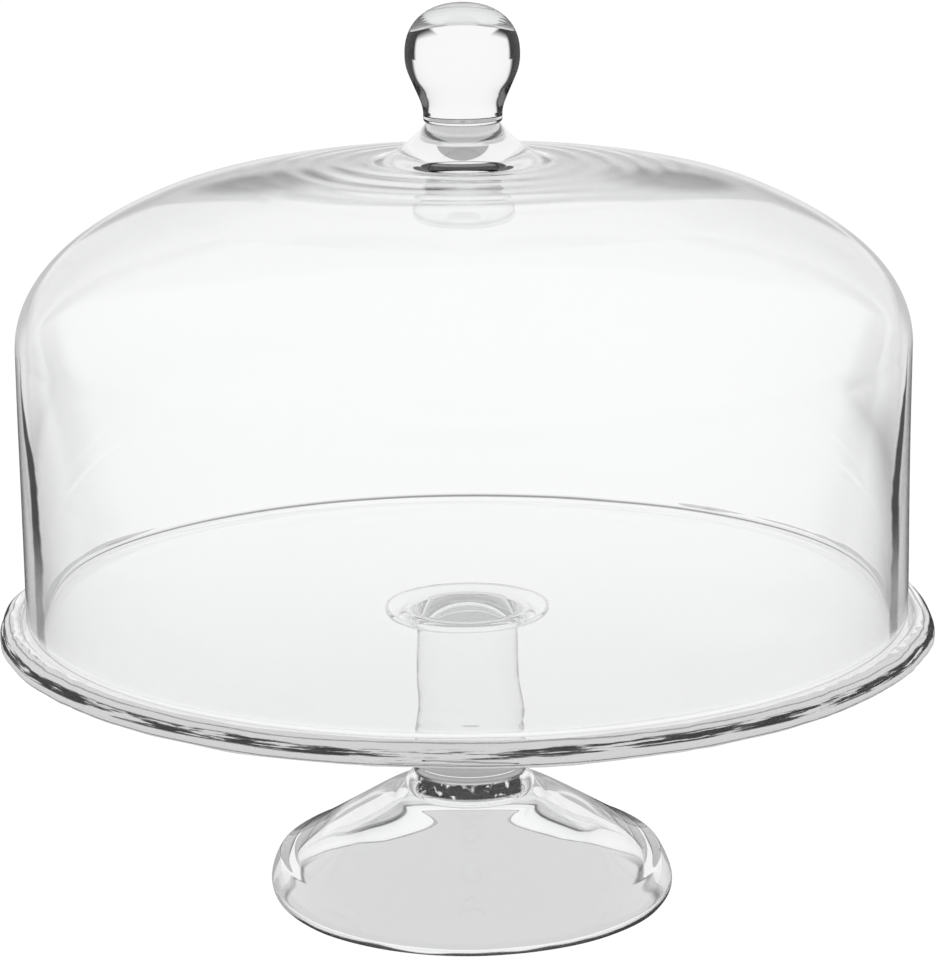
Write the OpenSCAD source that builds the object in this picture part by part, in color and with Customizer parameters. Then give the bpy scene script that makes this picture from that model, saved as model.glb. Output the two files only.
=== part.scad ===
// Footed glass cake stand with a loose dome cover.
// Origin: centre of the foot's resting ring, +Z up, millimetres.
// Every piece is a body of revolution about the Z axis. The cover (shell, collar and knob)
// lifts off; the stand (plate, stem button, stem and foot) is one hot-joined piece of glass.

/* [Plate] */
// Outer diameter of the plate, across the roll of its rim
plate_d = 306; // [300:1:340]
// Height of the flat serving face above the table
plate_z = 98.2; // [80:0.1:130]
// Thickness of the plate inside the rim
plate_t = 6.2; // [5:0.1:8]
// Height of the rim bead above the serving face
lip_h = 1.1; // [0.8:0.1:2]
// Radial width of the rim bead
lip_w = 6.6; // [5:0.1:10]

/* [Dome] */
// Outer diameter of the dome's straight wall
dome_d = 288.8; // [260:0.2:289]
// Height of the straight wall, from the rim to the start of the shoulder
dome_wall_h = 89.7; // [60:0.1:120]
// Height of the shoulder and crown above the straight wall
dome_crown_h = 59; // [52:0.5:66]
// Radius at which the low crown turns down into the shoulder
shoulder_r = 99.7; // [94:0.1:104]
// Depth of that turn below the top of the crown
shoulder_drop = 12.5; // [10:0.1:15]
// Slope of the glass at that turn, in degrees
shoulder_a = 22.8; // [19:0.1:27]
// Wall thickness of the dome
dome_t = 3.0; // [2.2:0.1:4]
// Thickness of the fire-polished bead at the dome's rim
dome_rim_t = 4.4; // [4.2:0.1:6]

/* [Knob] */
// Largest diameter of the knob's ball
knob_d = 36.8; // [30:0.2:44]
// Diameter of the knob's neck
neck_d = 25.4; // [20:0.2:28]
// Height of the knob, from the foot of its neck to its top
knob_h = 37.8; // [34:0.2:46]
// Height of the flared collar under the knob
collar_h = 11.4; // [8:0.1:16]
// Diameter of the collar's skirt where it runs out on the crown
collar_d = 60; // [52:1:80]

/* [Pedestal] */
// Diameter of the foot's base
foot_d = 135; // [120:1:160]
// Height of the foot, up to its joint with the stem
foot_h = 44; // [38:0.5:52]
// Glass thickness of the foot's bell
foot_t = 5.2; // [4:0.1:6]
// Diameter of the stem where it meets the foot
stem_d = 36.4; // [30:0.2:42]
// Diameter of the stem where it meets its button
stem_top_d = 33.2; // [28:0.2:40]
// Diameter of the button that joins the stem to the plate
button_d = 54; // [44:1:70]
// Thickness of that button
button_t = 5; // [4:0.2:8]

/* [Hidden] */
$fn = 96;
glass = [0.93, 0.95, 0.95, 0.35];

plate_r = plate_d / 2;
under_z = plate_z - plate_t;          // flat underside of the plate
dome_r = dome_d / 2;
dome_gap = 0.02;                      // rest clearance between dome rim and plate
dome_z = plate_z + dome_gap;          // lowest point of the dome's rim
spring_z = plate_z + dome_wall_h;     // where the straight wall ends and the shoulder starts
crown_z = spring_z + dome_crown_h;    // top of the dome's crown, on the axis
knob_z = crown_z + collar_h;          // joint between collar and knob
knob_r = knob_d / 2;
neck_r = neck_d / 2;
crease_r = neck_r - 1.1;              // radius at the bottom of the crease between neck and collar
collar_r = collar_d / 2;
foot_r = foot_d / 2;
button_z = under_z - button_t;        // joint between stem and button

// ---- rules for the curves -------------------------------------------------
// Cubic Bezier through four control points.
function bez(p, t) = pow(1 - t, 3) * p[0] + 3 * t * pow(1 - t, 2) * p[1]
                   + 3 * t * t * (1 - t) * p[2] + pow(t, 3) * p[3];
// Points of a Bezier, without its first point.
function curve(p, n) = [for (i = [1 : n]) bez(p, i / n)];
// Arc points about c, from angle a to angle b.
function arc(c, r, a, b, n) = [for (i = [0 : n]) c + r * [cos(a + (b - a) * i / n), sin(a + (b - a) * i / n)]];
// Elliptic arc points about c.
function oval(c, rx, ry, a, b, n) = [for (i = [0 : n]) c + [rx * cos(a + (b - a) * i / n), ry * sin(a + (b - a) * i / n)]];
module lathe(points) { rotate_extrude() polygon(points); }

// ---- dome -----------------------------------------------------------------
// The outer crown is a low curve from the axis to the turn, then a tighter one to the wall.
turn = [shoulder_r, crown_z - shoulder_drop];
dir = [cos(shoulder_a), -sin(shoulder_a)];
nor = [sin(shoulder_a), cos(shoulder_a)];
crown_ctl = [[0, crown_z], [38.4, crown_z], turn - 21.1 * dir, turn];
shoulder_ctl = [turn, turn + 21.3 * dir, [dome_r, spring_z + 23.6], [dome_r, spring_z]];
// The inner surface runs parallel, one wall thickness further in.
turn_in = turn - dome_t * nor;
crown_in = [[0, crown_z - dome_t], [38.4, crown_z - dome_t], turn_in - 20.8 * dir, turn_in];
shoulder_in = [turn_in, turn_in + 20 * dir, [dome_r - dome_t, spring_z + 22.6], [dome_r - dome_t, spring_z]];
// Step of the crown curve at radius r.
function find_t(r, lo, hi, n) = n == 0 ? (lo + hi) / 2
    : let (m = (lo + hi) / 2) bez(crown_ctl, m)[0] < r ? find_t(r, m, hi, n - 1) : find_t(r, lo, m, n - 1);
t_skirt = find_t(collar_r, 0, 1, 40);
function crown(r) = bez(crown_ctl, find_t(r, 0, 1, 40))[1];
// The bed under the collar: points shared by the shell and the collar.
bed = [for (i = [0 : 10]) bez(crown_ctl, t_skirt * i / 10)];
n_crown = 20;

module dome_shell() {
    rim = dome_rim_t / 2;
    color(glass) lathe(concat(
        // fire-polished rim, from its inner side round to the outer wall
        arc([dome_r - rim, dome_z + rim], rim, -180, 0, 14),
        [for (i = [0 : 22]) bez(shoulder_ctl, 1 - i / 22)],
        [for (i = [1 : n_crown - 1]) bez(crown_ctl, 1 - (1 - t_skirt) * i / n_crown)],
        [for (i = [10 : -1 : 0]) bed[i]],
        [for (i = [0 : 24]) bez(crown_in, i / 24)],
        [for (i = [1 : 21]) bez(shoulder_in, i / 22)],
        // the wall swells into the rim bead
        [[dome_r - dome_t, spring_z]],
        curve([[dome_r - dome_t, spring_z], [dome_r - dome_t, dome_z + 30],
               [dome_r - dome_rim_t, dome_z + 22], [dome_r - dome_rim_t, dome_z + rim + 0.4]], 10)));
}

module knob_collar() {
    edge = 0.5; // rounded run-out of the skirt on the crown
    rise = collar_h - edge - (crown(crease_r) - crown_z);
    side = [for (i = [15 : -1 : 1]) let (r = crease_r + (collar_r - crease_r) * i / 16, k = pow((collar_r - r) / (collar_r - crease_r), 1.9))
              [r, crown(r) + edge + rise * k]];
    color(glass) lathe(concat(bed, side, [[crease_r, knob_z], [0, knob_z]]));
}

module knob() {
    ball_z = knob_z + knob_h - 16.2; // widest level of the ball
    color(glass) lathe(concat(
        // rounded foot of the neck, which leaves a crease above the collar
        [[0, knob_z], [crease_r, knob_z]],
        curve([[crease_r, knob_z], [crease_r + 0.7, knob_z], [neck_r, knob_z + 0.5], [neck_r, knob_z + 1.4]], 6),
        curve([[neck_r, knob_z + 1.4], [neck_r - 0.3, knob_z + 4.6], [neck_r + 0.9, knob_z + 7], [neck_r + 2.9, knob_z + 11.5]], 12),
        curve([[neck_r + 2.9, knob_z + 11.5], [knob_r - 1.3, knob_z + 15.1], [knob_r, ball_z - 4.6], [knob_r, ball_z]], 12),
        // slightly flattened top
        [for (i = [1 : 21]) [knob_r * pow(cos(90 * i / 22), 0.89), ball_z + 16.2 * pow(sin(90 * i / 22), 0.89)]], [[0, knob_z + knob_h]]));
}

// ---- stand ----------------------------------------------------------------
module plate() {
    top = plate_z + lip_h;
    wide_z = under_z + 1.6; // level where the rolled edge is widest
    crest = plate_r - lip_w + 0.6; // radius of the top of the bead
    color(glass) lathe(concat(
        [[0, under_z], [plate_r - 9, under_z]],
        // rolled outer edge, from the underside round to the top of the bead
        oval([plate_r - 2.2, wide_z], 2.2, wide_z - under_z, -90, 0, 10),
        [for (i = [1 : 14]) let (a = 90 * i / 14) [crest + (plate_r - crest) * cos(a), wide_z + (top - wide_z) * sin(a)]],
        // inner side of the bead runs down to the flat face
        curve([[crest, top], [crest - 0.7, top], [crest - 0.9, plate_z], [crest - 1.5, plate_z]], 8),
        [[0, plate_z]]));
}

module stem_button() {
    r0 = stem_top_d / 2;
    r1 = button_d / 2;
    color(glass) lathe(concat(
        [[0, button_z], [r0, button_z]],
        curve([[r0, button_z], [r0 + 0.8, button_z + 1.6], [r1 - 6.5, under_z - 2.6], [r1 - 1.2, under_z - 2.4]], 12),
        arc([r1 - 1.2, under_z - 1.2], 1.2, -90, 0, 6),
        [[r1, under_z], [0, under_z]]));
}

module stem() {
    color(glass) lathe(concat(
        [[0, foot_h], [stem_d / 2, foot_h]],
        curve([[stem_d / 2, foot_h], [stem_d / 2 - 1.1, foot_h + 8], [stem_top_d / 2, button_z - 16], [stem_top_d / 2, button_z]], 12),
        [[0, button_z]]));
}

module foot() {
    r0 = stem_d / 2;
    wide = 4;    // level where the rolled edge of the foot is widest
    top = 38.2 - foot_t; // top of the hollow inside the bell
    // outer bell, from the edge up to the joint with the stem
    outer = concat(
        oval([foot_r - 2.6, wide], 2.6, wide, -90, 0, 10),
        curve([[foot_r, wide], [foot_r, wide + 2.4], [foot_r - 2.4, 12.1], [foot_r - 3.7, 12.8]], 10),
        curve([[foot_r - 3.7, 12.8], [foot_r - 12.8, 17.1], [r0 + 16.2, 31.4], [r0 + 9.8, 34.3]], 10),
        curve([[r0 + 9.8, 34.3], [r0 + 6.6, 35.8], [r0, 39.2], [r0, foot_h]], 12));
    // inner hollow, from the axis down to the resting ring
    inner = concat(
        [[0, top]],
        curve([[0, top], [r0 - 8.2, top], [r0 - 2.2, top - 0.1], [r0 + 0.8, top - 1.8]], 10),
        curve([[r0 + 0.8, top - 1.8], [r0 + 11.8, top - 8.1], [foot_r - 21.5, top - 17], [foot_r - 11.5, top - 24]], 12),
        curve([[foot_r - 11.5, top - 24], [foot_r - 8, top - 26.5], [foot_r - 6, 2.2], [foot_r - 4.6, 0]], 8));
    color(glass) lathe(concat(inner, outer, [[0, foot_h]]));
}

foot();
stem();
stem_button();
plate();
dome_shell();
knob_collar();
knob();
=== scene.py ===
import math

import bpy
import numpy as np
from mathutils import Matrix, Vector


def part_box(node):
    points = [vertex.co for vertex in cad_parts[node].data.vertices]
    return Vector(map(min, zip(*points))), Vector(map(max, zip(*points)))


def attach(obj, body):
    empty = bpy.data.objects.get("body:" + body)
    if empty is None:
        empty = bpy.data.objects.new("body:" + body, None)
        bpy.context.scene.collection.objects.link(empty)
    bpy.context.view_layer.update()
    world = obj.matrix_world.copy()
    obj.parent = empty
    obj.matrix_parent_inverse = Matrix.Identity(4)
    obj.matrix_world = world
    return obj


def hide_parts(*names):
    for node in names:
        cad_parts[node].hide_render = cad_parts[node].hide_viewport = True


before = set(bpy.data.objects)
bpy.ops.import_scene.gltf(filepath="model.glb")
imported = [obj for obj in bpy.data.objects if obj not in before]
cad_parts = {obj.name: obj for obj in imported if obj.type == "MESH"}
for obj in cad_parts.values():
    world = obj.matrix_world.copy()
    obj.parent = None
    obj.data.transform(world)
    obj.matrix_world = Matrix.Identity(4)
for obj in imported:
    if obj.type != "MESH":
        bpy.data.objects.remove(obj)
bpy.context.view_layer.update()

MM = 0.001
SEG = 480                      # facets round each piece


# ------------------------------------------------------------------ the frame's own sizes, in millimetres
def node_box(n):
    lo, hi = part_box(n)
    return [c / MM for c in lo], [c / MM for c in hi]


B = {n: node_box(n) for n in ("foot", "stem", "stem_button", "plate", "dome_shell", "knob_collar", "knob")}
plate_r = B["plate"][1][0]
under_z = B["plate"][0][2]
lip_top = B["plate"][1][2]
plate_z = lip_top - 1.1
dome_r = B["dome_shell"][1][0]
dome_z = B["dome_shell"][0][2]
crown_z = B["dome_shell"][1][2]
spring_z = crown_z - 59.0
collar_r = B["knob_collar"][1][0]
knob_z = B["knob"][0][2]
knob_r = B["knob"][1][0]
top_z = B["knob"][1][2]
neck_r = 12.7
crease_r = neck_r - 1.1
button_z = B["stem_button"][0][2]
button_r = B["stem_button"][1][0]
stem_z = B["stem"][0][2]
stem_r0 = B["stem"][1][0]
foot_r = B["foot"][1][0]


# ------------------------------------------------------------------ profile helpers: lists of (r, z)
def bez(p, n, skip_first=False):
    p = np.array(p, float)
    t = np.linspace(0, 1, n + 1)[:, None]
    c = (1 - t) ** 3 * p[0] + 3 * t * (1 - t) ** 2 * p[1] + 3 * t * t * (1 - t) * p[2] + t ** 3 * p[3]
    return [tuple(q) for q in c[1 if skip_first else 0:]]


def oval(c, rx, ry, a, b, n, skip_first=False):
    t = np.radians(np.linspace(a, b, n + 1))
    q = [(c[0] + rx * math.cos(x), c[1] + ry * math.sin(x)) for x in t]
    return q[1:] if skip_first else q


def line(a, b, n, skip_first=False):
    q = [(a[0] + (b[0] - a[0]) * i / n, a[1] + (b[1] - a[1]) * i / n) for i in range(n + 1)]
    return q[1:] if skip_first else q


def smooth_through(pts, n):
    """Even cubic through measured-out points (Catmull-Rom, chord-length), n steps per span."""
    p = [np.array(q, float) for q in pts]
    p = [2 * p[0] - p[1]] + p + [2 * p[-1] - p[-2]]
    out = []
    for i in range(1, len(p) - 2):
        a, b, c, d = p[i - 1], p[i], p[i + 1], p[i + 2]
        t0 = 0.0
        t1 = t0 + max(np.linalg.norm(b - a), 1e-6) ** 0.5
        t2 = t1 + max(np.linalg.norm(c - b), 1e-6) ** 0.5
        t3 = t2 + max(np.linalg.norm(d - c), 1e-6) ** 0.5
        for k in range(n):
            t = t1 + (t2 - t1) * k / n
            A1 = (t1 - t) / (t1 - t0) * a + (t - t0) / (t1 - t0) * b
            A2 = (t2 - t) / (t2 - t1) * b + (t - t1) / (t2 - t1) * c
            A3 = (t3 - t) / (t3 - t2) * c + (t - t2) / (t3 - t2) * d
            B1 = (t2 - t) / (t2 - t0) * A1 + (t - t0) / (t2 - t0) * A2
            B2 = (t3 - t) / (t3 - t1) * A2 + (t - t1) / (t3 - t1) * A3
            out.append(tuple((t2 - t) / (t2 - t1) * B1 + (t - t1) / (t2 - t1) * B2))
    out.append(tuple(p[-2]))
    return out


# outer crown: a low curve from the axis to the turn, then a tighter one to the wall
SA = math.radians(22.8)
DIR = np.array([math.cos(SA), -math.sin(SA)])
NOR = np.array([math.sin(SA), math.cos(SA)])
TURN = np.array([99.7, crown_z - 12.5])
CROWN = [(0, crown_z), (38.4, crown_z), TURN - 21.1 * DIR, TURN]
SHOULDER = [TURN, TURN + 21.3 * DIR, (dome_r, spring_z + 23.6), (dome_r, spring_z)]
WALL_T = 3.0
TURN_IN = TURN - WALL_T * NOR
CROWN_IN = [(0, crown_z - WALL_T), (38.4, crown_z - WALL_T), TURN_IN - 20.8 * DIR, TURN_IN]
SHOULDER_IN = [TURN_IN, TURN_IN + 20 * DIR, (dome_r - WALL_T, spring_z + 22.6), (dome_r - WALL_T, spring_z)]
_cr = np.array(bez(CROWN, 4000))


def crown(r):
    """Height of the crown's outer surface at radius r."""
    return float(np.interp(r, _cr[:, 0], _cr[:, 1]))


# ------------------------------------------------------------------ hand-made unevenness
rng = np.random.default_rng(20417)


def waves(count, k_lo, k_hi, power=1.0):
    """Seeded plane waves: (direction vector in rad/mm, phase, weight)."""
    out = []
    for _ in range(count):
        d = rng.normal(size=3)
        d /= np.linalg.norm(d)
        k = math.exp(rng.uniform(math.log(k_lo), math.log(k_hi)))
        out.append((d * k, rng.uniform(0, 2 * math.pi), (k_lo / k) ** power))
    return out


def field(co, ws):
    v = np.zeros(len(co))
    tot = math.sqrt(sum(w[2] ** 2 for w in ws) / 2)
    for k, ph, w in ws:
        v += w * np.sin(co @ k + ph)
    return v / tot


def lathe(name, spans, wobble=None, seg=SEG):
    """Closed body of revolution. spans is a list of (points, material index); each span starts where the last ended,
    and the profile closes on the axis or on itself."""
    prof, mats = [], []
    for pts, mi in spans:
        start = 0 if not prof else 1
        if prof and (abs(prof[-1][0] - pts[0][0]) > 1e-6 or abs(prof[-1][1] - pts[0][1]) > 1e-6):
            raise RuntimeError(f"{name}: span does not start where the last ended: {prof[-1]} {pts[0]}")
        for q in pts[start:]:
            if prof and abs(prof[-1][0] - q[0]) < 1e-7 and abs(prof[-1][1] - q[1]) < 1e-7:
                continue
            prof.append((float(q[0]), float(q[1])))
            if len(prof) > 1:
                mats.append(mi)
    closed = abs(prof[0][0] - prof[-1][0]) < 1e-6 and abs(prof[0][1] - prof[-1][1]) < 1e-6 and prof[0][0] > 1e-6
    if closed:
        prof.pop()
    elif prof[0][0] > 1e-6 or prof[-1][0] > 1e-6:
        raise RuntimeError(f"{name}: open profile")
    ang = np.linspace(0, 2 * math.pi, seg, endpoint=False)
    ca, sa = np.cos(ang), np.sin(ang)
    verts, rings = [], []
    count = 0
    for r, z in prof:
        if r < 1e-6:
            verts.append(np.array([[0.0, 0.0, z]]))
            rings.append((count, True))
            count += 1
        else:
            verts.append(np.stack([r * ca, r * sa, np.full(seg, z)], 1))
            rings.append((count, False))
            count += seg
    co = np.concatenate(verts)
    faces, fm = [], []
    idx = np.arange(seg)
    nxt = (idx + 1) % seg
    pairs = list(zip(rings[:-1], rings[1:]))
    if closed:
        pairs.append((rings[-1], rings[0]))
        mats = mats + [mats[-1]] if len(mats) < len(pairs) else mats
    for (pair, mi) in zip(pairs, mats):
        (a, pa), (b, pb) = pair
        if pa and pb:
            continue
        if pa:
            f = np.stack([np.full(seg, a), b + nxt, b + idx], 1)
        elif pb:
            f = np.stack([a + idx, a + nxt, np.full(seg, b)], 1)
        else:
            f = np.stack([a + idx, a + nxt, b + nxt, b + idx], 1)
        faces += [list(q) for q in f]
        fm += [mi] * seg
    if wobble is not None:
        co = wobble(co)
    me = bpy.data.meshes.new(name)
    me.from_pydata((co * MM).tolist(), [], faces)
    me.update()
    # outward normals
    import bmesh
    bm = bmesh.new()
    bm.from_mesh(me)
    bmesh.ops.recalc_face_normals(bm, faces=bm.faces)
    vol = bm.calc_volume(signed=True)
    if vol < 0:
        bmesh.ops.reverse_faces(bm, faces=bm.faces)
    bm.to_mesh(me)
    bm.free()
    me.polygons.foreach_set("material_index", fm)
    me.polygons.foreach_set("use_smooth", [True] * len(me.polygons))
    me.update()
    ob = bpy.data.objects.new(name, me)
    bpy.context.scene.collection.objects.link(ob)
    return ob


W_BIG = waves(10, 0.02, 0.05)        # slow unevenness of the blown wall, 120 to 300 mm long
W_MID = waves(14, 0.06, 0.16)        # 40 to 100 mm
W_FINE = waves(18, 0.2, 0.5)         # 12 to 30 mm
W_RIM = [(int(n), rng.uniform(0, 2 * math.pi), 1.0 / n ** 0.8) for n in range(3, 40)]


def ring_wave(co, seed_shift=0.0):
    th = np.arctan2(co[:, 1], co[:, 0])
    v = np.zeros(len(co))
    for n, ph, w in W_RIM:
        v += w * np.sin(n * th + ph + seed_shift * n)
    return v / math.sqrt(sum(w * w for _, _, w in W_RIM) / 2)


W_STREAK = [(int(n), rng.uniform(0, 2 * math.pi), 1.0 / n ** 0.5) for n in range(44, 130, 3)]


def fine_wave(co, seed_shift=0.0):
    """Short drawn streaks along the rim, 7 to 20 mm long, in bursts."""
    th = np.arctan2(co[:, 1], co[:, 0])
    v = np.zeros(len(co))
    for n, ph, w in W_STREAK:
        v += w * np.sin(n * th + ph + seed_shift * n + 0.25 * co[:, 2])
    v /= math.sqrt(sum(w * w for _, _, w in W_STREAK) / 2)
    return v * np.clip(0.45 + ring_wave(co, 2.9 + seed_shift), 0.1, 1.6)


def radial(co):
    r = np.hypot(co[:, 0], co[:, 1])
    u = np.zeros_like(co)
    m = r > 1e-6
    u[m, 0] = co[m, 0] / r[m]
    u[m, 1] = co[m, 1] / r[m]
    return r, u


# ------------------------------------------------------------------ the seven pieces
GLASS, JOINT = 0, 1


def make_dome():
    t, rt = 3.0, 4.4
    rim = rt / 2
    arc0 = oval((dome_r - rim, dome_z + rim), rim, rim, -180, 0, 24)
    wall = line((dome_r, dome_z + rim), (dome_r, spring_z), 40)
    shoulder = bez(SHOULDER, 70)[::-1]
    n = 80
    over = [tuple(q) for q in bez(CROWN, 400)[::-1] if q[0] > collar_r + 0.01][::4]
    over = [tuple(TURN)] + [q for q in over if q[0] < TURN[0] - 0.2] + [(collar_r, crown(collar_r))]
    bed = [(collar_r * (1 - i / 12), crown(collar_r * (1 - i / 12))) for i in range(13)]
    down = bez(CROWN_IN, n) + bez(SHOULDER_IN, 70, True)
    inner = bez([(dome_r - t, spring_z), (dome_r - t, dome_z + 30), (dome_r - rt, dome_z + 22), (dome_r - rt, dome_z + rim)], 44)
    axis = [bed[-1], down[0]]

    def wob(co):
        r, u = radial(co)
        z = co[:, 2]
        low = np.clip((z - dome_z - 8) / 60, 0, 1)
        a = 0.30 * field(co, W_BIG) + 0.05 * field(co, W_MID)
        far = np.clip((r - 45) / 40, 0, 1)
        out = co.copy()
        out += u * (a * low * far)[:, None]
        out[:, 2] += 0.05 * field(co, W_MID) * far * low
        # rings left in the crown where the knob was drawn down onto it
        ph = 1.2 * field(co, W_BIG) + 0.5 * field(co, W_MID)
        band = np.clip((r - 20) / 12, 0, 1) * np.clip((78 - r) / 22, 0, 1) * (z > spring_z) * (0.7 + 0.35 * field(co, W_MID))
        outer = z > np.interp(r, _cr[:, 0], _cr[:, 1]) - 1.5
        out[:, 2] += 0.075 * band * np.sin(2 * math.pi * (r / 9.0) + ph) * np.where(outer & (r > collar_r + 0.2), 1.0, 0.0)
        out[:, 2] += 0.05 * band * np.sin(2 * math.pi * (r / 11.0) + 1.7 * ph + 2.0) * np.where(outer, 0.0, 1.0)
        return out

    return lathe("dome_shell_glass", [(arc0, GLASS), (wall, GLASS), (shoulder, GLASS), (over, GLASS), (bed, JOINT), (axis, JOINT),
                                      (down, GLASS), (inner, GLASS)], wob, seg=960)


def make_collar():
    base = [(collar_r * i / 40, crown(collar_r * i / 40)) for i in range(41)]
    rise = knob_z - crown(crease_r)
    side = []
    n = 120
    for i in range(n + 1):
        r = collar_r + (crease_r - collar_r) * (i / n)
        k = ((collar_r - r) / (collar_r - crease_r)) ** 1.9
        side.append((r, crown(r) + rise * k))
    side[-1] = (crease_r, knob_z)
    return lathe("knob_collar_glass", [(base, JOINT), (side, GLASS), (line((crease_r, knob_z), (0, knob_z), 8), JOINT)])


def make_knob():
    ball_z = top_z - 16.2
    lip = bez([(crease_r, knob_z), (crease_r + 0.7, knob_z), (neck_r, knob_z + 0.5), (neck_r, knob_z + 1.4)], 24)
    neck = bez([(neck_r, knob_z + 1.4), (neck_r - 0.3, knob_z + 4.6), (neck_r + 0.9, knob_z + 7), (neck_r + 2.9, knob_z + 11.5)], 50)
    flare = bez([(neck_r + 2.9, knob_z + 11.5), (knob_r - 1.3, knob_z + 15.1), (knob_r, ball_z - 4.6), (knob_r, ball_z)], 50)
    cap = [(knob_r * math.cos(math.radians(t)) ** 0.89, ball_z + 16.2 * math.sin(math.radians(t)) ** 0.89)
           for t in np.linspace(0, 90, 91)[1:-1]]
    cap = [(knob_r, ball_z)] + cap + [(0.0, top_z)]
    return lathe("knob_glass", [(line((0, knob_z), (crease_r, knob_z), 8), JOINT), (lip, GLASS), (neck, GLASS), (flare, GLASS), (cap, GLASS)], seg=320)


def make_plate():
    top = lip_top
    wide = under_z + 1.6
    crest = plate_r - 6.0
    bottom = line((button_r, under_z), (plate_r - 9, under_z), 50) + line((plate_r - 9, under_z), (plate_r - 2.2, under_z), 8, True)
    edge = oval((plate_r - 2.2, wide), 2.2, wide - under_z, -90, 0, 26)
    head = oval((crest, wide), plate_r - crest, top - wide, 0, 90, 50)
    fall = bez([(crest, top), (crest - 0.7, top), (crest - 0.9, plate_z), (crest - 1.5, plate_z)], 26)
    face = line((crest - 1.5, plate_z), (0, plate_z), 70)

    def wob(co):
        r, u = radial(co)
        z = co[:, 2]
        out = co.copy()
        on_top = z > (plate_z + under_z) / 2
        rimness = np.clip((r - (plate_r - 12)) / 10, 0, 1)
        rings = np.sin(r * 0.42 + 1.3 * field(co, W_BIG)) * np.clip((r - 95) / 30, 0, 1) * (1 - rimness)
        fade = np.clip((r - 30) / 12, 0, 1)
        d = 0.035 * rings + 0.05 * field(co, W_MID) + 0.012 * field(co, W_FINE)
        out[:, 2] += d * fade * np.where(on_top, 1.0, -0.6)
        out += u * (0.30 * rimness * ring_wave(co) + 0.035 * rimness * fine_wave(co))[:, None]
        out[:, 2] += (0.22 * ring_wave(co, 1.7) + 0.05 * fine_wave(co, 0.9)) * rimness * np.where(on_top, 1.0, 0.7)
        return out

    return lathe("plate_glass", [(line((0, under_z), (button_r, under_z), 24), JOINT), (bottom, GLASS), (edge, GLASS),
                                 (head, GLASS), (fall, GLASS), (face, GLASS)], wob, seg=720)


def make_button():
    r0 = B["stem"][1][0] * 0 + 16.6
    r1 = button_r
    under = bez([(r0, button_z), (r0 + 0.8, button_z + 1.6), (r1 - 6.5, under_z - 2.6), (r1 - 1.2, under_z - 2.4)], 40)
    edge = oval((r1 - 1.2, under_z - 1.2), 1.2, 1.2, -90, 0, 20)
    edge += line((r1, under_z - 1.2), (r1, under_z), 4, True)
    return lathe("stem_button_glass", [(line((0, button_z), (r0, button_z), 10), JOINT), (under, GLASS), (edge, GLASS),
                                       (line((r1, under_z), (0, under_z), 24), JOINT)], seg=320)


def make_stem():
    r1, r0 = 16.6, stem_r0
    side = bez([(r0, stem_z), (r0 - 1.1, stem_z + 8), (r1, button_z - 16), (r1, button_z)], 60)
    return lathe("stem_glass", [(line((0, stem_z), (r0, stem_z), 10), JOINT), (side, GLASS),
                                (line((r1, button_z), (0, button_z), 10), JOINT)], seg=320)


def make_foot():
    r0, ft, wide = stem_r0, 5.2, 4.0
    outer = oval((foot_r - 2.6, wide), 2.6, wide, -90, 0, 30)
    outer += bez([(foot_r, wide), (foot_r, wide + 2.4), (foot_r - 2.4, 12.1), (foot_r - 3.7, 12.8)], 30, True)
    outer += bez([(foot_r - 3.7, 12.8), (foot_r - 12.8, 17.1), (r0 + 16.2, 31.4), (r0 + 9.8, 34.3)], 60, True)
    outer += bez([(r0 + 9.8, 34.3), (r0 + 6.6, 35.8), (r0, 39.2), (r0, stem_z)], 50, True)
    top = 38.2 - ft
    inner = [(0.0, top)]
    inner += bez([(0, top), (r0 - 8.2, top), (r0 - 2.2, top - 0.1), (r0 + 0.8, top - 1.8)], 60, True)
    inner += bez([(r0 + 0.8, top - 1.8), (r0 + 11.8, top - 8.1), (foot_r - 21.5, top - 17), (foot_r - 11.5, top - 24)], 60, True)
    inner += bez([(foot_r - 11.5, top - 24), (foot_r - 8, top - 26.5), (foot_r - 6, 2.2), (foot_r - 4.6, 0)], 40, True)
    inner += line((foot_r - 4.6, 0), (foot_r - 2.6, 0), 3, True)

    def wob(co):
        r, u = radial(co)
        z = co[:, 2]
        out = co.copy()
        m = np.clip((r - 24) / 20, 0, 1) * np.clip((36 - z) / 10, 0, 1)
        out += u * (m * (0.22 * field(co, W_MID) + 0.06 * field(co, W_FINE)))[:, None]
        up = np.clip(z / 6, 0, 1)
        out[:, 2] += m * up * (0.16 * field(co[:, [1, 2, 0]], W_MID))
        return out

    return lathe("foot_glass", [(inner, GLASS), (outer, GLASS), (line((r0, stem_z), (0, stem_z), 10), JOINT)], wob)


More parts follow.
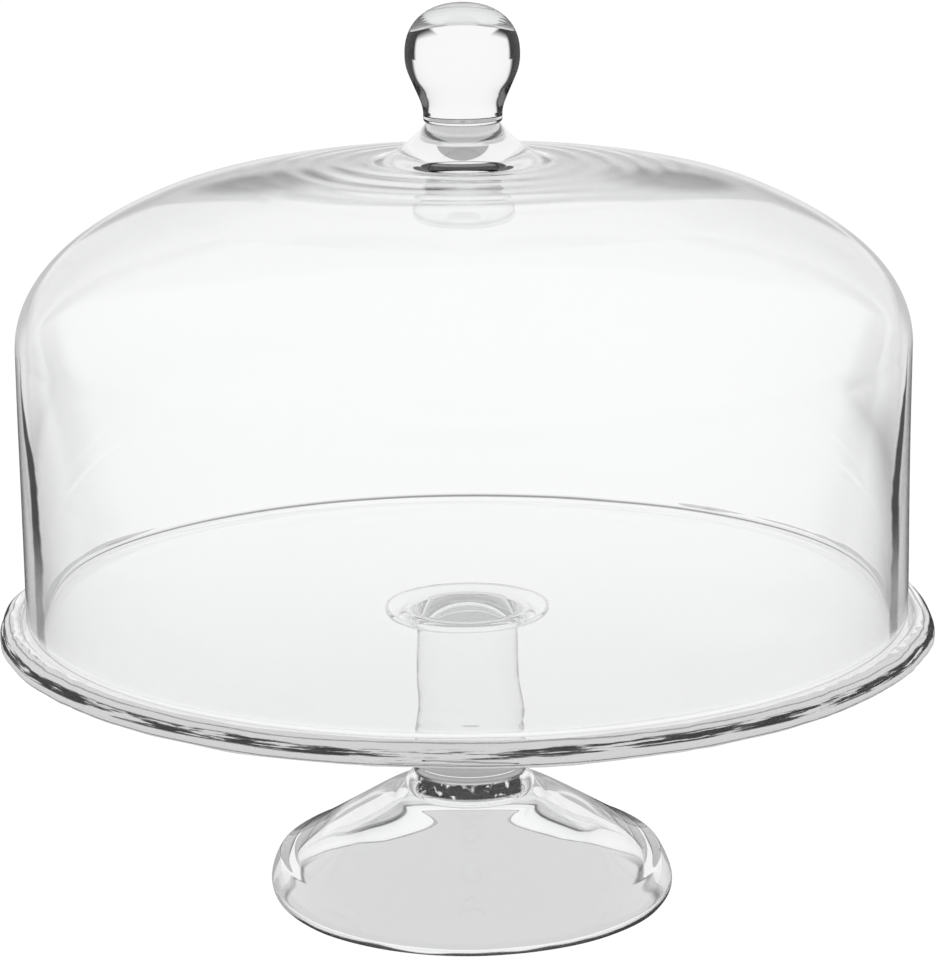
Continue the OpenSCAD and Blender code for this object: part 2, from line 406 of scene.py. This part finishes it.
# ------------------------------------------------------------------ node graph helpers
class Graph:
    def __init__(self, tree):
        self.t = tree
        tree.nodes.clear()

    def new(self, kind, **props):
        n = self.t.nodes.new(kind)
        for k, v in props.items():
            setattr(n, k, v)
        return n

    def put(self, sock, v):
        if hasattr(v, "links"):
            self.t.links.new(v, sock)
        else:
            sock.default_value = v

    def m(self, op, a, b=0.0, c=0.0, clamp=False):
        n = self.new("ShaderNodeMath", operation=op, use_clamp=clamp)
        self.put(n.inputs[0], a)
        self.put(n.inputs[1], b)
        if len(n.inputs) > 2:
            self.put(n.inputs[2], c)
        return n.outputs[0]

    def step(self, v, lo, hi, a=0.0, b=1.0):
        """Smooth ramp of v from lo to hi, giving a to b."""
        n = self.new("ShaderNodeMapRange", interpolation_type="SMOOTHSTEP")
        self.put(n.inputs["Value"], v)
        n.inputs["From Min"].default_value = lo
        n.inputs["From Max"].default_value = hi
        n.inputs["To Min"].default_value = a
        n.inputs["To Max"].default_value = b
        return n.outputs["Result"]

    def mixf(self, f, a, b):
        n = self.new("ShaderNodeMix", data_type="FLOAT")
        self.put(n.inputs[0], f)
        self.put(n.inputs[2], a)
        self.put(n.inputs[3], b)
        return n.outputs[0]


def plate_rim_painted_shade(g):
    """Plate edge seen from outside: painted shade, a dark band drawn with bright streaks where it breaks and a thin
    dark line under it; the far rim, seen through the glass, gets painted shade as well.
    """
    tc = g.new("ShaderNodeTexCoord")
    sp = g.new("ShaderNodeSeparateXYZ")
    g.put(sp.inputs[0], tc.outputs["Object"])
    x, y = sp.outputs["X"], sp.outputs["Y"]
    z = g.m("MULTIPLY", g.m("SUBTRACT", sp.outputs["Z"], under_z * MM), 1000.0)       # mm above the underside
    rad = g.m("SQRT", g.m("ADD", g.m("MULTIPLY", x, x), g.m("MULTIPLY", y, y)))
    th = g.m("ARCTAN2", y, x)
    v = g.new("ShaderNodeCombineXYZ")
    g.put(v.inputs[0], g.m("MULTIPLY", g.m("COSINE", th), 6.5))
    g.put(v.inputs[1], g.m("MULTIPLY", g.m("SINE", th), 6.5))
    g.put(v.inputs[2], g.m("MULTIPLY", z, 1.15))
    n = g.new("ShaderNodeTexNoise")
    n.inputs["Scale"].default_value = 1.0
    n.inputs["Detail"].default_value = 5.0
    n.inputs["Roughness"].default_value = 0.62
    g.put(n.inputs["Vector"], v.outputs[0])
    w = g.new("ShaderNodeCombineXYZ")
    g.put(w.inputs[0], g.m("MULTIPLY", g.m("COSINE", th), 2.6))
    g.put(w.inputs[1], g.m("MULTIPLY", g.m("SINE", th), 2.6))
    slow = g.new("ShaderNodeTexNoise")
    slow.inputs["Scale"].default_value = 1.0
    slow.inputs["Detail"].default_value = 1.0
    g.put(slow.inputs["Vector"], w.outputs[0])
    mid = g.m("ADD", 4.45, g.m("MULTIPLY", g.m("SUBTRACT", slow.outputs["Fac"], 0.5), 2.0))
    off = g.m("ABSOLUTE", g.m("SUBTRACT", z, mid))
    # painted shade: a dark band along the rim with light gaps, standing in for the dark light the rolled edge bends and
    # mirrors
    band = g.step(off, 0.95, 1.45, 1.0, 0.0)
    gaps = g.step(n.outputs["Fac"], 0.50, 0.58, 1.0, 0.0)
    low = g.m("ABSOLUTE", g.m("SUBTRACT", z, g.m("ADD", 1.15, g.m("MULTIPLY", g.m("SUBTRACT", slow.outputs["Fac"], 0.5), 0.5))))
    thin = g.m("MULTIPLY", g.step(low, 0.10, 0.26, 1.0, 0.0), 0.6)
    high = g.m("ABSOLUTE", g.m("SUBTRACT", z, g.m("ADD", 6.75, g.m("MULTIPLY", g.m("SUBTRACT", n.outputs["Fac"], 0.5), 0.5))))
    thin = g.m("MAXIMUM", thin, g.m("MULTIPLY", g.step(high, 0.06, 0.17, 1.0, 0.0), 0.5))
    out = g.step(rad, (plate_r - 5.6) * MM, (plate_r - 4.9) * MM)
    lp = g.new("ShaderNodeLightPath")
    mask = g.m("MULTIPLY", g.m("MAXIMUM", g.m("MULTIPLY", band, gaps), thin), g.m("MULTIPLY", out, lp.outputs["Is Camera Ray"]))
    # painted shade on the far rim where it is seen through the glass, in two rings inside its edge
    far = g.m("MULTIPLY", g.m("GREATER_THAN", lp.outputs["Transmission Depth"], 1.5), g.m("LESS_THAN", lp.outputs["Glossy Depth"], 0.5))
    far = g.m("MULTIPLY", far, g.m("GREATER_THAN", z, 4.0))
    rmm = g.m("SUBTRACT", g.m("MULTIPLY", rad, 1000.0), plate_r)                      # mm out from the plate's edge
    back = g.m("MULTIPLY", g.step(rmm, -7.2, -6.4), 0.30)
    back = g.m("MAXIMUM", back, g.m("MULTIPLY", g.step(rmm, -3.4, -1.6), 0.75))
    mask = g.m("MAXIMUM", g.m("MULTIPLY", mask, 0.95), g.m("MULTIPLY", far, back))
    return mask, 0.03


def dome_shades(g):
    """Dome seen from outside: a dark drawn line just inside each side, and a line where the far rim stands on the plate."""
    geo = g.new("ShaderNodeNewGeometry")
    tc = g.new("ShaderNodeTexCoord")
    sp = g.new("ShaderNodeSeparateXYZ")
    g.put(sp.inputs[0], tc.outputs["Object"])
    z = g.m("SUBTRACT", g.m("MULTIPLY", sp.outputs["Z"], 1000.0), dome_z)              # mm above the dome's rim
    dt = g.new("ShaderNodeVectorMath", operation="DOT_PRODUCT")
    g.put(dt.inputs[0], geo.outputs["Normal"])
    g.put(dt.inputs[1], geo.outputs["Incoming"])
    f = g.m("ABSOLUTE", dt.outputs["Value"])
    w = g.new("ShaderNodeCombineXYZ")
    g.put(w.inputs[0], g.m("MULTIPLY", z, 0.045))
    g.put(w.inputs[1], g.m("SIGN", sp.outputs["X"]))
    n = g.new("ShaderNodeTexNoise")
    n.inputs["Scale"].default_value = 1.0
    n.inputs["Detail"].default_value = 3.0
    g.put(n.inputs["Vector"], w.outputs[0])
    drift = g.m("MULTIPLY", g.m("SUBTRACT", n.outputs["Fac"], 0.5), 0.07)
    mid = g.m("ADD", g.step(z, 46.0, 90.0, 0.235, 0.148), drift)
    half = g.m("ADD", g.step(z, 62.0, 96.0, 0.036, 0.003), g.m("MULTIPLY", drift, 0.35))
    off = g.m("ABSOLUTE", g.m("SUBTRACT", f, mid))
    edge = g.step(g.m("SUBTRACT", off, half), -0.016, 0.006, 1.0, 0.0)
    edge = g.m("MULTIPLY", edge, g.step(z, 14.0, 44.0, 0.42, 0.93))
    edge = g.m("MULTIPLY", edge, g.m("MULTIPLY", g.step(z, 1.5, 6.0), g.step(z, 88.0, 100.0, 1.0, 0.0)))
    lp = g.new("ShaderNodeLightPath")
    stand = g.m("MULTIPLY", g.step(z, 0.9, 1.5, 0.62, 0.0), g.m("GREATER_THAN", lp.outputs["Transmission Depth"], 1.5))
    stand = g.m("MULTIPLY", stand, g.m("LESS_THAN", lp.outputs["Glossy Depth"], 0.5))
    return g.m("MAXIMUM", g.m("MULTIPLY", edge, lp.outputs["Is Camera Ray"]), stand), 0.035


def foot_shades(g):
    """Foot seen from outside: a dark line round its base, and a dark patch where the stem runs down into it."""
    geo = g.new("ShaderNodeNewGeometry")
    tc = g.new("ShaderNodeTexCoord")
    sp = g.new("ShaderNodeSeparateXYZ")
    g.put(sp.inputs[0], tc.outputs["Object"])
    z = g.m("MULTIPLY", sp.outputs["Z"], 1000.0)
    th = g.m("ARCTAN2", sp.outputs["Y"], sp.outputs["X"])
    w = g.new("ShaderNodeCombineXYZ")
    g.put(w.inputs[0], g.m("COSINE", th))
    g.put(w.inputs[1], g.m("SINE", th))
    slow = g.new("ShaderNodeTexNoise")
    slow.inputs["Scale"].default_value = 1.5
    slow.inputs["Detail"].default_value = 2.0
    g.put(slow.inputs["Vector"], w.outputs[0])
    thick = g.m("MULTIPLY", g.m("SUBTRACT", slow.outputs["Fac"], 0.14), 6.5)
    base = g.m("MULTIPLY", g.step(g.m("SUBTRACT", z, thick), -0.5, 0.3, 1.0, 0.0), g.step(z, 0.25, 0.6))
    vt = g.new("ShaderNodeVectorTransform", vector_type="VECTOR", convert_from="WORLD", convert_to="CAMERA")
    g.put(vt.inputs[0], geo.outputs["Position"])
    cp = g.new("ShaderNodeSeparateXYZ")
    g.put(cp.inputs[0], vt.outputs[0])
    wide = g.step(g.m("ABSOLUTE", cp.outputs["X"]), 0.0165, 0.0180, 1.0, 0.0)
    n = g.new("ShaderNodeTexNoise")
    n.inputs["Scale"].default_value = 210.0
    n.inputs["Detail"].default_value = 2.0
    n.inputs["Distortion"].default_value = 0.9
    g.put(n.inputs["Vector"], tc.outputs["Object"])
    patch = g.m("MULTIPLY", g.m("MULTIPLY", g.step(z, 37.3, 37.9), g.step(z, 41.2, 41.9, 1.0, 0.0)), wide)
    patch = g.m("MULTIPLY", patch, g.step(n.outputs["Fac"], 0.57, 0.66, 0.94, 0.05))
    lp = g.new("ShaderNodeLightPath")
    mask = g.m("MULTIPLY", g.m("MAXIMUM", g.m("MULTIPLY", base, 0.93), patch), lp.outputs["Is Camera Ray"])
    return mask, 0.03


def glass_material(name, ior=1.5, tint=(0.994, 0.995, 0.995), bump=0.02, scale=40.0, mirror=None, trap=None, paint=None):
    mat = bpy.data.materials.new(name)
    mat.use_nodes = True
    g = Graph(mat.node_tree)
    out = g.new("ShaderNodeOutputMaterial")
    tc = g.new("ShaderNodeTexCoord")
    n1 = g.new("ShaderNodeTexNoise")
    n1.inputs["Scale"].default_value = scale
    n1.inputs["Detail"].default_value = 2.0
    g.put(n1.inputs["Vector"], tc.outputs["Object"])
    n2 = g.new("ShaderNodeTexNoise")
    n2.inputs["Scale"].default_value = scale * 0.22
    n2.inputs["Detail"].default_value = 1.0
    g.put(n2.inputs["Vector"], tc.outputs["Object"])
    bp = g.new("ShaderNodeBump")
    bp.inputs["Strength"].default_value = 1.0
    bp.inputs["Distance"].default_value = bump * MM
    g.put(bp.inputs["Height"], n1.outputs["Fac"])
    ramp = g.new("ShaderNodeMix", data_type="RGBA")
    g.put(ramp.inputs[0], n2.outputs["Fac"])
    ramp.inputs[6].default_value = (tint[0] * 0.996, tint[1] * 0.997, tint[2] * 0.997, 1)
    ramp.inputs[7].default_value = (tint[0], tint[1], tint[2], 1)
    if mirror is not None:
        # solid glass whose mirrored light is weakened, so its edges stay dark
        fr = g.new("ShaderNodeFresnel")
        fr.inputs["IOR"].default_value = ior
        g.put(fr.inputs["Normal"], bp.outputs["Normal"])
        rf = g.new("ShaderNodeBsdfRefraction")
        rf.inputs["Roughness"].default_value = 0.0
        rf.inputs["IOR"].default_value = ior
        g.put(rf.inputs["Color"], ramp.outputs[2])
        g.put(rf.inputs["Normal"], bp.outputs["Normal"])
        gl = g.new("ShaderNodeBsdfGlossy")
        gl.inputs["Roughness"].default_value = 0.0
        gl.inputs["Color"].default_value = (mirror, mirror, mirror, 1)
        g.put(gl.inputs["Normal"], bp.outputs["Normal"])
        mx = g.new("ShaderNodeMixShader")
        g.put(mx.inputs[0], fr.outputs[0])
        g.put(mx.inputs[1], rf.outputs[0])
        g.put(mx.inputs[2], gl.outputs[0])
        surf = mx.outputs[0]
        if trap is not None:
            # light that has bounced this often inside the glass settles at an even level
            lp = g.new("ShaderNodeLightPath")
            em = g.new("ShaderNodeEmission")
            em.inputs["Strength"].default_value = trap[1]
            m2 = g.new("ShaderNodeMixShader")
            g.put(m2.inputs[0], g.m("GREATER_THAN", lp.outputs["Glossy Depth"], trap[0] - 0.5))
            g.put(m2.inputs[1], surf)
            g.put(m2.inputs[2], em.outputs[0])
            surf = m2.outputs[0]
        # painted shade: where the mask is set, the glass is replaced by a faint dark glow
        if paint is not None:
            mask, val = paint(g)
            em = g.new("ShaderNodeEmission")
            em.inputs["Strength"].default_value = val
            m3 = g.new("ShaderNodeMixShader")
            g.put(m3.inputs[0], mask)
            g.put(m3.inputs[1], surf)
            g.put(m3.inputs[2], em.outputs[0])
            surf = m3.outputs[0]
        g.put(out.inputs["Surface"], surf)
        return mat
    bs = g.new("ShaderNodeBsdfPrincipled")
    g.put(bs.inputs["Base Color"], ramp.outputs[2])
    bs.inputs["Metallic"].default_value = 0.0
    bs.inputs["Roughness"].default_value = 0.0
    bs.inputs["IOR"].default_value = ior
    bs.inputs["Transmission Weight"].default_value = 1.0
    g.put(bs.inputs["Normal"], bp.outputs["Normal"])
    g.put(out.inputs["Surface"], bs.outputs[0])
    return mat


def joint_material():
    """Hot-joined faces: the glass runs on through them, so they bend and reflect nothing."""
    mat = bpy.data.materials.new("hot_joint")
    mat.use_nodes = True
    g = Graph(mat.node_tree)
    out = g.new("ShaderNodeOutputMaterial")
    tr = g.new("ShaderNodeBsdfTransparent")
    g.put(out.inputs["Surface"], tr.outputs[0])
    return mat


def lean(co):
    """The hand-made pedestal leans a little: its foot sits about a millimetre to one side of the plate's centre."""
    out = co.copy()
    out[:, 0] += 0.9 * (1 - co[:, 2] / under_z)
    return out


J = joint_material()
pieces = {}
for node, make, slot, body, kw in (
    ("foot", make_foot, "foot_glass", "stand", dict(bump=0.012, scale=55.0, mirror=0.93, trap=(9, 0.9), paint=foot_shades)),
    ("stem", make_stem, "stem_glass", "stand", dict(bump=0.01, scale=60.0)),
    ("stem_button", make_button, "stem_glass", "stand", dict(bump=0.01, scale=60.0)),
    ("plate", make_plate, "plate_glass", "stand", dict(bump=0.010, scale=45.0, mirror=0.95, trap=(6, 0.86), paint=plate_rim_painted_shade)),
    ("dome_shell", make_dome, "dome_glass", "cover", dict(bump=0.006, scale=30.0, mirror=0.90, trap=(5, 0.97), paint=dome_shades)),
    ("knob_collar", make_collar, "knob_glass", "cover", dict(bump=0.006, scale=60.0)),
    ("knob", make_knob, "knob_glass", "cover", dict(bump=0.004, scale=60.0, mirror=0.2)),
):
    ob = make()
    if node in ("foot", "stem", "stem_button"):
        flat = np.empty(len(ob.data.vertices) * 3)
        ob.data.vertices.foreach_get("co", flat)
        ob.data.vertices.foreach_set("co", (lean(flat.reshape(-1, 3) / MM) * MM).ravel())
        ob.data.update()
    ob.data.materials.append(glass_material(node + "_clear", **kw))
    ob.data.materials.append(J)
    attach(ob, body)
    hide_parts(node)
    pieces[node] = ob

# ------------------------------------------------------------------ stage: pale floor, which glows; seen in the glass its glow is painted light and shade
WHITE = 1.02                   # the lit surround, as seen in and through the glass
WHITE_BACK = 1.03              # the surround behind the piece


def steepness(g):
    """0 for a camera near the height of the piece, 1 for one that looks down on it steeply."""
    vt = g.new("ShaderNodeVectorTransform", vector_type="VECTOR", convert_from="WORLD", convert_to="CAMERA")
    vt.inputs[0].default_value = (0, 0, 1)
    sp = g.new("ShaderNodeSeparateXYZ")
    g.put(sp.inputs[0], vt.outputs[0])
    return g.step(g.m("ABSOLUTE", sp.outputs["Z"]), 0.38, 0.60)


def floor():
    me = bpy.data.meshes.new("floor")
    s = 30.0
    me.from_pydata([(-s, -s, 0), (s, -s, 0), (s, s, 0), (-s, s, 0)], [], [(0, 1, 2, 3)])
    ob = bpy.data.objects.new("floor", me)
    ob.location = (0, 0, -0.0002)
    bpy.context.scene.collection.objects.link(ob)
    mat = bpy.data.materials.new("pale_floor")
    mat.use_nodes = True
    g = Graph(mat.node_tree)
    out = g.new("ShaderNodeOutputMaterial")
    em = g.new("ShaderNodeEmission")
    geo = g.new("ShaderNodeNewGeometry")
    vt = g.new("ShaderNodeVectorTransform", vector_type="VECTOR", convert_from="WORLD", convert_to="CAMERA")
    g.put(vt.inputs[0], geo.outputs["Position"])
    sp = g.new("ShaderNodeSeparateXYZ")
    g.put(sp.inputs[0], vt.outputs[0])
    lat, fwd = sp.outputs["X"], sp.outputs["Z"]         # metres to the right of the axis, and beyond it
    alat = g.m("ABSOLUTE", lat)
    rad = g.m("SQRT", g.m("ADD", g.m("MULTIPLY", lat, lat), g.m("MULTIPLY", fwd, fwd)))
    # painted shade: seen in the glass, the table is darker close round the piece
    table = g.step(rad, 0.09, 0.45, 0.86, 1.0)
    # shade under the foot: its far edge is a low arch, drawn as a thin wavering line
    nz = g.new("ShaderNodeTexNoise")
    nz.inputs["Scale"].default_value = 55.0
    nz.inputs["Detail"].default_value = 3.0
    g.put(nz.inputs["Vector"], geo.outputs["Position"])
    waver = g.m("MULTIPLY", g.m("SUBTRACT", nz.outputs["Fac"], 0.5), 0.010)
    arch = g.m("SUBTRACT", g.m("ADD", 0.115, waver), g.m("MULTIPLY", g.m("MULTIPLY", lat, lat), 22.0))
    arch = g.m("SUBTRACT", fwd, arch)                   # below zero inside the shade
    under = g.m("MULTIPLY", g.step(arch, -0.001, 0.001, 1.0, 0.0), g.step(rad, 0.118, 0.126, 1.0, 0.0))
    table = g.m("MULTIPLY", table, g.m("SUBTRACT", 1.0, g.m("MULTIPLY", under, 0.22)))
    lineat = g.m("MULTIPLY", g.step(g.m("ABSOLUTE", arch), 0.0008, 0.0030, 1.0, 0.0), g.step(rad, 0.114, 0.122, 1.0, 0.0))
    table = g.m("MULTIPLY", table, g.m("SUBTRACT", 1.0, g.m("MULTIPLY", lineat, 0.55)))
    # painted contact shadow: a dark ring round the foot's resting edge, on its near side
    contact = g.m("MULTIPLY", g.step(rad, 0.0575, 0.0600), g.step(rad, 0.078, 0.090, 1.0, 0.0))
    contact = g.m("MULTIPLY", contact, g.step(fwd, 0.0, 0.035, 1.0, 0.0))
    table = g.m("MULTIPLY", table, g.m("SUBTRACT", 1.0, g.m("MULTIPLY", contact, 0.92)))
    near = g.m("MULTIPLY", g.step(lat, -0.34, -0.27), g.step(lat, 0.22, 0.29, 1.0, 0.0))
    near = g.m("MULTIPLY", near, g.step(fwd, -0.42, -0.32))
    near = g.m("MULTIPLY", near, table)
    cone = g.m("DIVIDE", alat, g.m("MAXIMUM", fwd, 0.001))
    far = g.m("MULTIPLY", g.step(cone, 0.85, 1.05, 1.0, 0.0), g.step(fwd, 0.45, 0.75))
    val = g.m("MAXIMUM", g.m("MAXIMUM", near, far), 0.03)
    lp = g.new("ShaderNodeLightPath")
    bounced = g.m("GREATER_THAN", lp.outputs["Glossy Depth"], 0.5)
    # mirrored floor: dimmer close by, and dark in a wedge to each side beyond the piece
    ang = g.m("MULTIPLY", g.m("ARCTAN2", alat, fwd), 180 / math.pi)
    ang = g.m("SUBTRACT", ang, g.step(rad, 0.35, 0.9, 12.0, 0.0))
    wedge = g.m("MULTIPLY", g.m("MULTIPLY", g.step(ang, 10, 14), g.step(ang, 24, 36, 1.0, 0.0)), g.step(rad, 0.7, 1.1, 1.0, 0.3))
    lit = g.m("MULTIPLY", g.step(rad, 0.25, 0.9, 0.45, 0.9), g.m("SUBTRACT", 1.0, g.m("MULTIPLY", wedge, 0.97)))
    # from high up the whole table is seen through the glass, plain and pale, with painted shade close round the piece
    steep = steepness(g)
    ln = g.new("ShaderNodeVectorMath", operation="LENGTH")
    g.put(ln.inputs[0], geo.outputs["Position"])
    val = g.mixf(steep, val, g.step(ln.outputs["Value"], 0.05, 0.30, 0.84, 0.99))
    lit = g.mixf(steep, lit, g.step(ln.outputs["Value"], 0.10, 0.90, 0.70, 0.95))
    val = g.mixf(bounced, val, lit)
    val = g.mixf(lp.outputs["Is Camera Ray"], val, WHITE_BACK / WHITE)
    g.put(em.inputs["Strength"], g.m("MULTIPLY", val, WHITE))
    g.put(out.inputs["Surface"], em.outputs[0])
    ob.data.materials.append(mat)
    return ob


floor()


# ------------------------------------------------------------------ light: white studio surround with dark cards at the sides
def surround():
    w = bpy.data.worlds.new("studio")
    bpy.context.scene.world = w
    w.use_nodes = True
    g = Graph(w.node_tree)
    out = g.new("ShaderNodeOutputWorld")
    bg = g.new("ShaderNodeBackground")
    bg.inputs["Color"].default_value = (1, 1, 1, 1)
    tc = g.new("ShaderNodeTexCoord")
    c = g.new("ShaderNodeSeparateXYZ")
    g.put(c.inputs[0], tc.outputs["Camera"])
    d = g.new("ShaderNodeSeparateXYZ")
    g.put(d.inputs[0], tc.outputs["Generated"])
    lateral = g.m("ABSOLUTE", c.outputs["X"])
    flat = g.m("SQRT", g.m("MAXIMUM", g.m("SUBTRACT", g.m("SUBTRACT", 1.0, g.m("MULTIPLY", d.outputs["Z"], d.outputs["Z"])),
                                          g.m("MULTIPLY", lateral, lateral)), 0.0))
    ahead = g.m("SIGN", g.m("ADD", c.outputs["Z"], g.m("MULTIPLY", d.outputs["Z"], 0.25)))
    az = g.m("MULTIPLY", g.m("ARCTAN2", lateral, g.m("MULTIPLY", flat, ahead)), 180 / math.pi)   # 0 ahead, 180 behind the camera
    el = g.m("MULTIPLY", g.m("ARCSINE", d.outputs["Z"]), 180 / math.pi)
    # seen through the glass: white backdrop ahead, dark at its sides, a softbox overhead
    thru = g.m("MAXIMUM", g.step(az, 43, 51, 1.0, 0.03), g.m("MULTIPLY", g.step(el, 56, 64), 0.95))
    # mirrored in the glass: a dark opening above the backdrop, 15 degrees to each side and 26 degrees high
    ea, eb = g.m("DIVIDE", az, 15.0), g.m("DIVIDE", el, 26.0)
    inside = g.m("SQRT", g.m("ADD", g.m("MULTIPLY", ea, ea), g.m("MULTIPLY", eb, eb)))
    gap = g.m("MULTIPLY", g.step(inside, 0.96, 1.0, 1.0, 0.0), g.step(el, -1.0, 4.0))
    sa, sb = g.m("DIVIDE", g.m("SUBTRACT", az, 7.0), 3.2), g.m("DIVIDE", g.m("SUBTRACT", el, 13.0), 6.0)
    deep = g.step(g.m("SQRT", g.m("ADD", g.m("MULTIPLY", sa, sa), g.m("MULTIPLY", sb, sb))), 0.4, 1.15, 1.0, 0.26)
    lp = g.new("ShaderNodeLightPath")
    crossed = lp.outputs["Transmission Depth"]          # glass surfaces the ray has gone through
    deep = g.mixf(g.m("GREATER_THAN", crossed, 0.5), deep, 0.55)
    gap = g.m("MULTIPLY", gap, g.m("LESS_THAN", crossed, 3.5))
    steep = steepness(g)
    gap = g.m("MULTIPLY", gap, g.m("SUBTRACT", 1.0, steep))
    thru = g.mixf(steep, thru, g.m("MAXIMUM", thru, 0.55))
    mirror = g.m("SUBTRACT", 1.0, g.m("MULTIPLY", gap, deep))
    bounced = g.m("GREATER_THAN", lp.outputs["Glossy Depth"], 0.5)
    v = g.mixf(bounced, thru, mirror)
    v = g.mixf(lp.outputs["Is Camera Ray"], v, WHITE_BACK / WHITE)
    g.put(bg.inputs["Strength"], g.m("MULTIPLY", v, WHITE))
    g.put(out.inputs["Surface"], bg.outputs[0])


surround()

# ------------------------------------------------------------------ camera at the product view
cam_data = bpy.data.cameras.new("camera")
cam_data.sensor_width = 36.0
cam_data.lens = 133.45
cam_data.clip_start = 0.05
cam_data.clip_end = 100.0
cam = bpy.data.objects.new("camera", cam_data)
bpy.context.scene.collection.objects.link(cam)
pitch, roll = 0.24333, 0.0086
cam.matrix_world = (Matrix.Translation((0.000817, -1.12985, 0.42081)) @ Matrix.Rotation(math.pi / 2 - pitch, 4, "X")
                    @ Matrix.Rotation(-roll, 4, "Z"))
bpy.context.scene.camera = cam

sc = bpy.context.scene
sc.view_settings.view_transform = "Standard"
sc.view_settings.look = "None"
sc.view_settings.exposure = 0.0
sc.view_settings.gamma = 1.0
sc.cycles.max_bounces = 64
sc.cycles.transmission_bounces = 64
sc.cycles.glossy_bounces = 20
sc.cycles.transparent_max_bounces = 48
sc.cycles.diffuse_bounces = 2
sc.cycles.caustics_refractive = True
sc.cycles.caustics_reflective = True
sc.cycles.blur_glossy = 0.0
sc.cycles.sample_clamp_indirect = 4.0
sc.cycles.use_denoising = True
